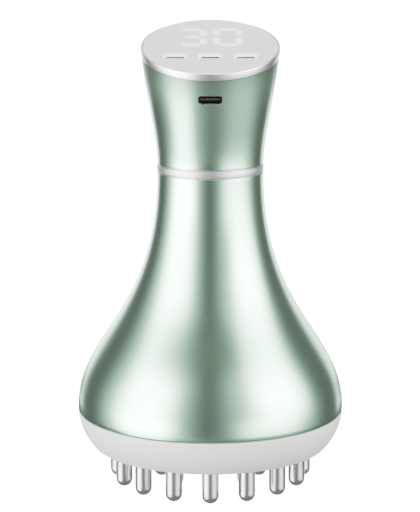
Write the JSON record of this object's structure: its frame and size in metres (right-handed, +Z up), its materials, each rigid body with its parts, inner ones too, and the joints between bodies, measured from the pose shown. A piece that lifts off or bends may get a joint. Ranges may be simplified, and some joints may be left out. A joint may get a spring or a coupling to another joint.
{
  "type": "handheld lymphatic drainage massager",
  "caption": "Bell-shaped hand massager with a head of round steel pins, a slim banded waist, and a tilted control face with display and push buttons.",
  "frame": {"origin": "the middle of the ring of pins, at the height of the pin tips that the massager stands on", "axes": "+Z up along the body's axis, -Y towards the front, where the control face is lowest and the charging socket sits, +X to the right as seen from the front"},
  "size_m": [0.1, 0.1, 0.1716],
  "materials": {
    "shell_paint": "satin metallic paint, brushed look",
    "band_chrome": "polished",
    "bezel_silver": "soft polished silver plating",
    "panel_plastic": "fine satin, pale grey",
    "display_black": "moulded",
    "key_white": "soft gloss",
    "plunger_grey": "moulded",
    "switch_black": "moulded",
    "board_green": "solder mask",
    "screw_steel": "zinc plated",
    "socket_steel": "bright formed sheet",
    "tongue_grey": "moulded",
    "frame_plastic": "moulded",
    "cell_wrap": "shrink wrap",
    "tab_nickel": "nickel plated",
    "lead_red": "insulation",
    "motor_steel": "plated",
    "weight_brass": "turned",
    "head_white": "fine satin, warm white",
    "seal_rubber": "smooth",
    "pin_steel": "polished stainless"
  },
  "bodies": {
    "housing": {"bell_shell": "shell_paint", "neck_shell": "shell_paint", "waist_ring": "band_chrome", "top_bezel": "bezel_silver", "control_panel": "panel_plastic", "display_module": "display_black", "control_board": "board_green", "board_screws": "screw_steel", "left_switch": "switch_black", "middle_switch": "switch_black", "right_switch": "switch_black", "charging_board": "board_green", "charging_screws": "screw_steel", "usb_socket": "socket_steel", "usb_tongue": "tongue_grey", "inner_frame": "frame_plastic", "frame_screws": "screw_steel", "battery_cell": "cell_wrap", "battery_tabs": "tab_nickel", "battery_leads": "lead_red", "motor_case": "motor_steel", "motor_plate": "motor_steel", "motor_screws": "screw_steel", "motor_leads": "lead_red", "head_base": "head_white", "head_seal": "seal_rubber", "pin_board": "board_green", "pin_board_screws": "screw_steel", "outer_pin_01": "pin_steel", "outer_pin_02": "pin_steel", "outer_pin_03": "pin_steel", "outer_pin_04": "pin_steel", "outer_pin_05": "pin_steel", "outer_pin_06": "pin_steel", "outer_pin_07": "pin_steel", "outer_pin_08": "pin_steel", "outer_pin_09": "pin_steel", "outer_pin_10": "pin_steel", "outer_pin_11": "pin_steel", "outer_pin_12": "pin_steel", "outer_pin_13": "pin_steel", "outer_pin_14": "pin_steel", "outer_pin_15": "pin_steel", "outer_pin_16": "pin_steel", "inner_pin_01": "pin_steel", "inner_pin_02": "pin_steel", "inner_pin_03": "pin_steel", "inner_pin_04": "pin_steel", "inner_pin_05": "pin_steel", "inner_pin_06": "pin_steel", "inner_pin_07": "pin_steel", "inner_pin_08": "pin_steel"},
    "left_key": {"left_button": "key_white", "left_plunger": "plunger_grey"},
    "middle_key": {"middle_button": "key_white", "middle_plunger": "plunger_grey"},
    "right_key": {"right_button": "key_white", "right_plunger": "plunger_grey"},
    "rotor": {"motor_shaft": "motor_steel", "eccentric_weight": "weight_brass"}
  },
  "joints": [
    {"name": "left_press", "type": "slide", "parent": "housing", "child": "left_key", "axis": [0, 0.2823, -0.9593], "range_m": [0, 0.0005], "stiffness_N_per_m": 1500},
    {"name": "middle_press", "type": "slide", "parent": "housing", "child": "middle_key", "axis": [0, 0.2823, -0.9593], "range_m": [0, 0.0005], "stiffness_N_per_m": 1500},
    {"name": "right_press", "type": "slide", "parent": "housing", "child": "right_key", "axis": [0, 0.2823, -0.9593], "range_m": [0, 0.0005], "stiffness_N_per_m": 1500},
    {"name": "rotor_spin", "type": "hinge", "parent": "housing", "child": "rotor", "pos_m": [0, 0, 0.0406], "axis": [0, 0, 1], "continuous": true}
  ]
}
